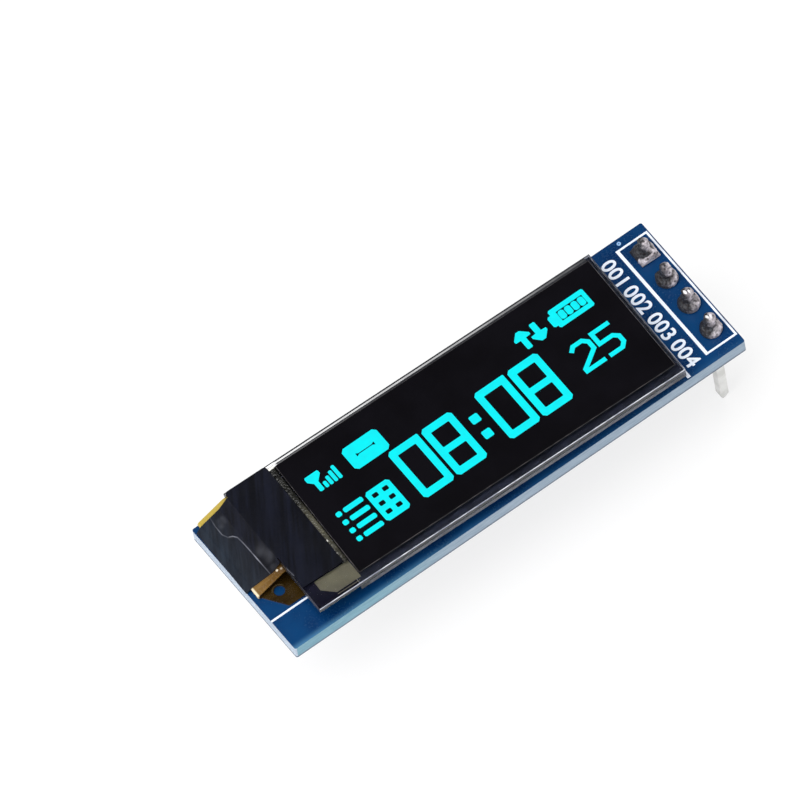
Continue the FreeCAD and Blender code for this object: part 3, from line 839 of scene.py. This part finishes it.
def makeBattery():
    shape = {"body": (-8.42, -5.49, 1.76, 3.37), "corner": 0.11, "nub": (-8.73, 2.02, 2.97),
             "window": (-7.96, -5.80, 2.13, 2.99), "cells": 4, "gap": 0.07, "cellCorner": 0.12}
    x0, x1, y0, y1 = shape["body"]
    cut = shape["corner"]
    nubX, nubLow, nubHigh = shape["nub"]
    body = [(x0 + cut, y0), (x1 - cut, y0), (x1, y0 + cut), (x1, y1 - cut), (x1 - cut, y1), (x0 + cut, y1),
            (x0, y1 - cut), (x0, nubHigh), (nubX + cut, nubHigh), (nubX, nubHigh - cut), (nubX, nubLow + cut),
            (nubX + cut, nubLow), (x0, nubLow), (x0, y0 + cut)]
    left, right, low, high = shape["window"]
    outlines = [body, cutBox(left, right, low, high)]
    pitch = (right - left) / shape["cells"]
    for i in range(shape["cells"]):
        x = left + i * pitch
        outlines.append(cutBox(x + shape["gap"] / 2, x + pitch - shape["gap"] / 2,
                               low + shape["gap"], high - shape["gap"], shape["cellCorner"]))
    addLitShape("batteryIcon", outlines)


def makeNumber():
    # a plain two figure number
    box = {"first": -9.0, "second": -7.1, "width": 1.42, "front": -2.12, "back": 0.05, "cut": 0.34,
           "twoFoot": 0.6, "twoReach": 0.15, "fiveReach": 0.05, "aboveMiddle": 0.1, "fiveBend": 0.2}
    w, y0, y1, cut = box["width"], box["front"], box["back"], box["cut"]
    middle = (y0 + y1) / 2
    above = middle + box["aboveMiddle"]
    x = box["first"]
    two = [(x, y1 - cut), (x + cut, y1), (x + w - cut, y1), (x + w, y1 - cut), (x + w, above),
           (x, y0 + cut * box["twoFoot"]), (x, y0), (x + w + box["twoReach"], y0)]
    x = box["second"]
    five = [(x + w + box["fiveReach"], y1), (x, y1), (x, above), (x + w - cut, above),
            (x + w, middle - box["fiveBend"]), (x + w, y0 + cut), (x + w - cut, y0), (x, y0)]
    for name, points in {"numberTens": two, "numberUnits": five}.items():
        addLitShape(name, [strokeOutline(points, picture["thinStroke"])])


for makeForms in (makeUnderGlass, makeGlass, makeArris, makeBackReflection, makeLedgeLine, makeDisplayFilm,
                  makeClock, makeEnvelope, makeSignal, makeListIcons, makeArrows, makeBattery, makeNumber):
    makeForms()
print("display made")


# Tape with its crease

tape = {
    "step": 0.06, "waves": 0.016, "waveScale": 0.75, "waveStart": 0.1, "waveRun": 0.6,
    "creaseLine": ((-35.42, 5.7), (-35.55, 4.73), (-35.57, 3.91), (-35.41, 3.49), (-35.12, 3.24),
                   (-34.95, 2.93), (-34.91, 2.34), (-34.90, 1.42), (-34.90, 0.51), (-34.90, -0.9)),
    "creaseHeight": 0.03, "creaseWidth": 0.05, "creaseFade": 0.03, "creaseStep": 0.03,
    "creaseX": (-35.7, -34.8), "creaseGain": 1.2, "creaseRange": (0.35, 1.2),
    "edgeLine": ((-33.98, -1.5), (-33.93, -2.3)), "edgeStrength": 0.4,
    "shine": ((-35.2, 4.6, 0.24), (-34.9, 4.63, 0.2), (-34.4, 1.0, 0.34), (-34.3, 0.2, 0.34),
              (-34.49, -0.76, 0.22)),
    "shineStrength": 0.1, "shineStretch": 0.6, "shineLeast": 0.2, "patchScale": 1.9, "patchDepth": 0.9,
    "patchMean": 0.6, "faintY": 3.4, "faint": 0.4, "fadeY": (0.35, -0.05), "faded": 0.3,
    "raisedHeight": (3.7, 4.5), "frontShift": 0.36, "shiftX": (-36.8, -34.6), "shiftEnd": -34.03,
    "shiftY": (0.2, -0.45),
}


def distanceToLine(x, y, points):
    nearest = 1e9
    for (ax, ay), (bx, by) in zip(points, points[1:]):
        along = Vector((bx - ax, by - ay))
        share = clamp(Vector((x - ax, y - ay)).dot(along) / along.length_squared)
        nearest = min(nearest, math.hypot(x - ax - along.x * share, y - ay - along.y * share))
    return nearest


def shineAt(x, y):
    stretch = tape["shineStretch"]
    return max(math.exp(-(math.hypot(x - px, (y - py) * stretch) / size) ** 4)
               for px, py, size in tape["shine"])


def makeTape():
    bm = copyOfNode("black_tape")
    sliced(bm, 0, tape["step"] * mm)
    sliced(bm, 1, tape["step"] * mm)
    x, lastX = tape["creaseX"]
    while x < lastX:
        cutAcross(bm, 0, x * mm)
        x += tape["creaseStep"]
    end = min(v.co.x for v in bm.verts) / mm
    wearAndSheen = vertexMark(bm, "wearAndSheen")
    raised = vertexMark(bm, "raised")
    for v in bm.verts:
        x, y, z = v.co / mm
        if x < tape["shiftEnd"]:
            # the front edge lies further forward on the slope
            y -= tape["frontShift"] * shareBetween(x, *tape["shiftX"]) * shareBetween(y, *tape["shiftY"])
            v.co.y = y * mm
        away = clamp((x - end - tape["waveStart"]) / tape["waveRun"])
        wave = noise.noise(Vector((x, y, 0)) * tape["waveScale"]) * 0.5 + 0.5
        near = distanceToLine(x, y, tape["creaseLine"])
        ridge = math.exp(-(near / tape["creaseWidth"]) ** 2)
        v.co.z += (tape["waves"] * wave + tape["creaseHeight"] * ridge) * away * mm
        # painted highlight and wear: a patchy pale line along the crease, painted sheen patches and a painted
        # highlight along the edge line
        patchy = noise.noise(Vector((x, y, 5)) * tape["patchScale"]) * tape["patchDepth"] + tape["patchMean"]
        worn = clamp(patchy * tape["creaseGain"], *tape["creaseRange"])
        line = math.exp(-(near / tape["creaseFade"]) ** 2) * worn
        line *= tape["faint"] if y > tape["faintY"] else 1
        line *= 1 - (1 - tape["faded"]) * shareBetween(y, *tape["fadeY"])
        shine = shineAt(x, y) * tape["shineStrength"] * clamp(patchy, tape["shineLeast"])
        edge = math.exp(-(distanceToLine(x, y, tape["edgeLine"]) / tape["creaseFade"]) ** 2)
        v[wearAndSheen] = max(line, shine, edge * tape["edgeStrength"])
        # painted shade: the part raised over the ledge is marked for the darker colour
        v[raised] = shareBetween(z, *tape["raisedHeight"])
    piece = addPiece("tapeSkin", bm, "tape")
    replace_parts(piece, "black_tape")


makeTape()
print("tape made")


# Dirty strip of glue between the tape and the film

bead = {"xTape": -30.55, "front": -3.6, "back": 5.56, "widthBack": 0.46, "widthFront": 0.32, "bottom": 5.05,
        "edge": 0.005, "height": 0.05, "lumps": 3.2, "lumpShare": (0.4, 0.6), "skew": math.radians(-1.2),
        "glints": ((-30.56, -1.51, 0.075), (-30.6, -2.45, 0.035), (-30.6, -2.72, 0.04)), "shineY": 5.38,
        "brightY": (2.2, 0.3, -4.2)}


def makeBead():
    bm = bmesh.new()
    bmesh.ops.create_grid(bm, x_segments=10, y_segments=180, size=0.5)
    glint = vertexMark(bm, "glint")
    shade = vertexMark(bm, "shade")
    dark, bright, duller = bead["brightY"]
    even, uneven = bead["lumpShare"]
    for v in bm.verts:
        share, across = v.co.y + 0.5, v.co.x + 0.5
        width = bead["widthFront"] + (bead["widthBack"] - bead["widthFront"]) * share
        y = bead["front"] + (bead["back"] - bead["front"]) * share
        x = bead["xTape"] + width * across - math.sin(bead["skew"]) * y
        lump = noise.noise(Vector((x, y, 3.0)) * bead["lumps"]) * 0.5 + 0.5
        dome = math.sin(math.pi * across) * bead["height"] * (even + uneven * lump)
        v.co = (x * mm, y * mm, (bead["bottom"] + bead["edge"] + dome) * mm)
        # painted highlights: a few glints along the bead and its whole back end
        inGlint = any(math.hypot(x - gx, y - gy) < size for gx, gy, size in bead["glints"])
        v[glint] = 1.0 if inGlint or y > bead["shineY"] else 0.0
        v[shade] = shareBetween(y, dark if y > bright else duller, bright)
    for v in extrudedVerts(bm):
        v.co.z = bead["bottom"] * mm
    bmesh.ops.recalc_face_normals(bm, faces=bm.faces)
    addPiece("edgeBead", bm, "bead", smooth=True)


makeBead()
print("bead made")


# Header solder, and the pins in it

lumps = {
    "profile": ((0.74, 0.0), (0.80, 0.12), (0.78, 0.34), (0.70, 0.54), (0.56, 0.68), (0.45, 0.78),
                (0.40, 0.95), (0.40, 1.50), (0.37, 1.74), (0.27, 1.86)),
    "pinYs": (3.81, 1.27, -1.27, -3.81), "boardTop": 3.2, "turns": 64, "squareFade": 1.4,
    "rough": 0.09, "roughScale": 2.4, "fine": 0.05, "fineScale": 6.0, "seed": (7.3, 3.1),
    "footStill": 4, "middleStill": 0.4, "rise": 0.5, "riseFrom": 3, "topFrom": 0.7, "topFade": 0.3,
    "litSide": (0.80, -0.59), "litBase": 0.42, "litShare": 0.5, "litReach": 0.5,
    "neck": 0.42, "neckRange": 0.14, "neckDark": 0.45,
    "firstFoot": 0.4, "firstFootEnd": 0.35, "firstFootY": -0.25,
    "facets": ((-0.12, -0.02), (0.10, -0.14)), "facetWidth": 0.07, "facetStretch": 0.45, "facetFrom": 0.85,
    "facetStrength": (0.0, 0.0, 1.0, 1.0),
}


def spunLump(top):
    bm = bmesh.new()
    rim = [bm.verts.new((r, 0, z)) for r, z in ((0.0, 0.0), *lumps["profile"], (0.0, top))]
    edges = [bm.edges.new(pair) for pair in zip(rim, rim[1:])]
    bmesh.ops.subdivide_edges(bm, edges=edges, cuts=2)
    bmesh.ops.spin(bm, geom=bm.verts[:] + bm.edges[:], cent=(0, 0, 0), axis=(0, 0, 1), angle=math.tau,
                   steps=lumps["turns"], use_merge=True)
    bmesh.ops.remove_doubles(bm, verts=bm.verts, dist=0.0005)
    bmesh.ops.recalc_face_normals(bm, faces=bm.faces)
    return bm


def squareStretch(v, share):
    # the first pad is square at its foot
    angle = math.atan2(v.co.y, v.co.x)
    square = 1 / max(abs(math.cos(angle)), abs(math.sin(angle)))
    return 1 + (square - 1) * max(0, 1 - share * lumps["squareFade"])


def makeSolderLump(index, y):
    top = lumps["profile"][-1][1]
    bm = spunLump(top)
    facet = vertexMark(bm, "facet")
    lit = vertexMark(bm, "lit")
    seed = Vector([index * value for value in lumps["seed"]] + [0])
    litX, litY = lumps["litSide"]
    for v in bm.verts:
        radius = math.hypot(v.co.x, v.co.y)
        share = v.co.z / top
        if radius < 1e-4:
            continue
        if index == 1:
            stretch = squareStretch(v, share)
            v.co.x *= stretch
            v.co.y *= stretch
        big = noise.noise(v.co * lumps["roughScale"] + seed)
        small = noise.noise(v.co * lumps["fineScale"] + seed)
        grow = (lumps["rough"] * big + lumps["fine"] * small) * min(1, share * lumps["footStill"])
        outward = Vector((v.co.x, v.co.y, 0)).normalized()
        # painted glints on the stubs of pins 3 and 4
        near = min(math.hypot(v.co.x - facetX, (v.co.y - facetY) * lumps["facetStretch"])
                   for facetX, facetY in lumps["facets"])
        shiny = share > lumps["facetFrom"] and near < lumps["facetWidth"]
        v[facet] = lumps["facetStrength"][index - 1] if shiny else 0.0
        # painted light and shade: the side toward the light is marked lit, the neck where the pin leaves the
        # solder dark, and pin 1's square foot lit
        toward = (outward.x * litX + outward.y * litY) * min(1, radius / lumps["litReach"])
        neck = math.exp(-((share - lumps["neck"]) / lumps["neckRange"]) ** 2)
        inFoot = index == 1 and share < lumps["firstFootEnd"] and v.co.y < lumps["firstFootY"]
        foot = lumps["firstFoot"] if inFoot else 0.0
        v[lit] = clamp(lumps["litBase"] + lumps["litShare"] * toward + foot - lumps["neckDark"] * neck)
        v.co += outward * grow * min(1, radius / lumps["middleStill"])
        flat = clamp((share - lumps["topFrom"]) / lumps["topFade"])
        v.co.z += grow * lumps["rise"] * min(1, share * lumps["riseFrom"]) * (1 - flat)
    bringToPlace(bm, (0, y, lumps["boardTop"]))
    piece = addPiece(f"solderLump{index}", bm, "solder", smooth=True)
    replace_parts(piece, f"solder_joint_{index}")


def makeHeaderPin(index, y):
    # the end inside the solder is drawn in, so that only solder shows above the board
    pinTop = {"from": 3.26, "to": 3.32, "band": 0.01, "shrink": 0.78}
    bm = copyOfNode(f"pin_{index}")
    cutAcross(bm, 2, pinTop["from"] * mm)
    cutAcross(bm, 2, pinTop["to"] * mm)
    end = [v for v in bm.verts if v.co.z > (pinTop["to"] - pinTop["band"]) * mm]
    shrink = Matrix.Diagonal((pinTop["shrink"], pinTop["shrink"], 1.0))
    bmesh.ops.transform(bm, matrix=shrink.to_4x4(), space=Matrix.Translation((0, -y * mm, 0)), verts=end)
    piece = addPiece(f"headerPin{index}", bm, "tinnedPin")
    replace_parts(piece, f"pin_{index}")


for lumpIndex, lumpY in enumerate(lumps["pinYs"], 1):
    makeSolderLump(lumpIndex, lumpY)
    makeHeaderPin(lumpIndex, lumpY)
print("solder made")


# Pin numbers and the small via

printed = {"numberX": -2.98, "height": 1.1, "capShare": 0.72, "spacing": 1.05, "bold": 0.03,
           "thickness": 0.02, "top": 3.22, "pinYs": (3.84, 1.25, -1.50, -4.18)}
via = {"place": (-0.90, 5.61, 3.2), "radius": 0.15, "hole": 0.05, "height": 0.02}


def makePinNumbers():
    for index, y in enumerate(printed["pinYs"], 1):
        curve = bpy.data.curves.new("pinNumber", "FONT")
        curve.body = f"00{index}"
        curve.space_character = printed["spacing"]
        curve.size = printed["height"] / printed["capShare"]
        curve.offset = printed["bold"]
        curve.extrude = printed["thickness"] / 2
        curve.align_x = "CENTER"
        curve.resolution_u = 4
        place = (printed["numberX"], y, printed["top"] - printed["thickness"] / 2)
        shape = curveShape(f"pinNumber{index}", curve, place, math.radians(-90))
        addPiece(f"pinNumber{index}", shape, "printedInk")


def makeVia():
    bm = bmesh.new()
    bmesh.ops.create_circle(bm, cap_ends=False, segments=28, radius=via["radius"])
    ring = bmesh.ops.extrude_edge_only(bm, edges=bm.edges[:])["geom"]
    inner = [g for g in ring if isinstance(g, bmesh.types.BMVert)]
    bmesh.ops.scale(bm, vec=(via["hole"] / via["radius"],) * 3, verts=inner)
    bmesh.ops.translate(bm, vec=(0, 0, via["height"]), verts=extrudedVerts(bm))
    bmesh.ops.recalc_face_normals(bm, faces=bm.faces)
    bringToPlace(bm, via["place"])
    addPiece("viaRing", bm, "viaMask")


makePinNumbers()
makeVia()
print("print made")


# Floor, light and camera

view = {
    "target": Vector((-19.72, 5.212, 3.18)) * mm, "back": Vector((-0.22577, -0.45178, 0.86309)),
    "up": Vector((0.55003, 0.67212, 0.4957)), "distance": 2.4, "frameWidth": 54.365 * mm,
}
lamps = {
    "lampTop": {"from": (-0.30, 0.00, 0.95), "distance": 0.7, "size": 0.50, "power": 3.4},
    "lampLeft": {"from": (-0.80, -0.15, 0.60), "distance": 0.6, "size": 0.34, "power": 1.7},
    "lampFront": {"from": (-0.05, -0.85, 0.60), "distance": 0.7, "size": 0.40, "power": 0.9},
    "lampBack": {"from": (0.80, 0.60, 0.40), "distance": 0.7, "size": 0.35, "power": 0.5},
}
room = {"ambient": 0.55, "horizon": 0.45, "overhead": 0.01, "bendLow": 0.05, "bendHigh": 0.5}


def makeCamera():
    data = bpy.data.cameras.new("camera")
    data.sensor_width = 36
    data.lens = data.sensor_width * view["distance"] / view["frameWidth"]
    data.clip_start = 0.1
    data.clip_end = 20
    camera = bpy.data.objects.new("camera", data)
    back = view["back"].normalized()
    right = view["up"].cross(back).normalized()
    up = back.cross(right)
    axes = Matrix((right, up, back)).transposed().to_4x4()
    camera.matrix_world = Matrix.Translation(view["target"] + back * view["distance"]) @ axes
    bpy.context.scene.collection.objects.link(camera)
    bpy.context.scene.camera = camera


def makeLamps():
    middle = view["target"]
    for name, lamp in lamps.items():
        data = bpy.data.lights.new(name, "AREA")
        data.shape = "SQUARE"
        data.size = lamp["size"]
        data.energy = lamp["power"]
        light = bpy.data.objects.new(name, data)
        direction = Vector(lamp["from"]).normalized()
        turn = direction.to_track_quat("Z", "Y").to_matrix().to_4x4()
        light.matrix_world = Matrix.Translation(middle + direction * lamp["distance"]) @ turn
        bpy.context.scene.collection.objects.link(light)


def makeRoom():
    world = bpy.data.worlds.new("room")
    bpy.context.scene.world = world
    world.use_nodes = True
    tree = world.node_tree
    tree.nodes.clear()
    direction = addNode(tree, "ShaderNodeTexCoord").outputs["Generated"]
    height = splitAxes(tree, direction)["Z"]
    shade = remap(tree, height, room["bendLow"], room["bendHigh"], room["horizon"], room["overhead"])
    path = addNode(tree, "ShaderNodeLightPath")
    level = mixValue(tree, path.outputs["Is Glossy Ray"], room["ambient"], shade)
    level = mixValue(tree, path.outputs["Is Camera Ray"], level, 1.0)
    background = addNode(tree, "ShaderNodeBackground", {"Color": (1, 1, 1, 1), "Strength": level})
    output = addNode(tree, "ShaderNodeOutputWorld")
    tree.links.new(background.outputs[0], output.inputs["Surface"])


def makeFloor():
    floor = {"size": 3.0, "drop": 0.01, "colour": (0.93, 0.93, 0.93, 1.0), "glow": 0.75}
    material = bpy.data.materials.new("paleFloor")
    material.use_nodes = True
    tree = material.node_tree
    tree.nodes.clear()
    paint = addNode(tree, "ShaderNodeBsdfDiffuse", {"Color": floor["colour"]})
    white = addNode(tree, "ShaderNodeEmission", {"Color": (1, 1, 1, 1), "Strength": 1.0})
    path = addNode(tree, "ShaderNodeLightPath")
    bounced = mathNode(tree, "MAXIMUM", path.outputs["Is Glossy Ray"], path.outputs["Is Transmission Ray"])
    seen = mathNode(tree, "MAXIMUM", path.outputs["Is Camera Ray"], bounced)
    share = times(tree, seen, floor["glow"])
    mixed = addNode(tree, "ShaderNodeMixShader", {0: share, 1: paint.outputs[0], 2: white.outputs[0]})
    output = addNode(tree, "ShaderNodeOutputMaterial")
    tree.links.new(mixed.outputs[0], output.inputs["Surface"])
    bm = bmesh.new()
    bmesh.ops.create_grid(bm, x_segments=1, y_segments=1, size=floor["size"] / 2)
    bmesh.ops.translate(bm, vec=(0, 0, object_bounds()[0][2] - floor["drop"] * mm), verts=bm.verts)
    mesh = meshFrom(bm, "floor")
    mesh.materials.append(material)
    surface = bpy.data.objects.new("floor", mesh)
    bpy.context.scene.collection.objects.link(surface)


makeCamera()
makeLamps()
makeRoom()
makeFloor()
bpy.context.scene.view_settings.view_transform = "Standard"
print("stage made")
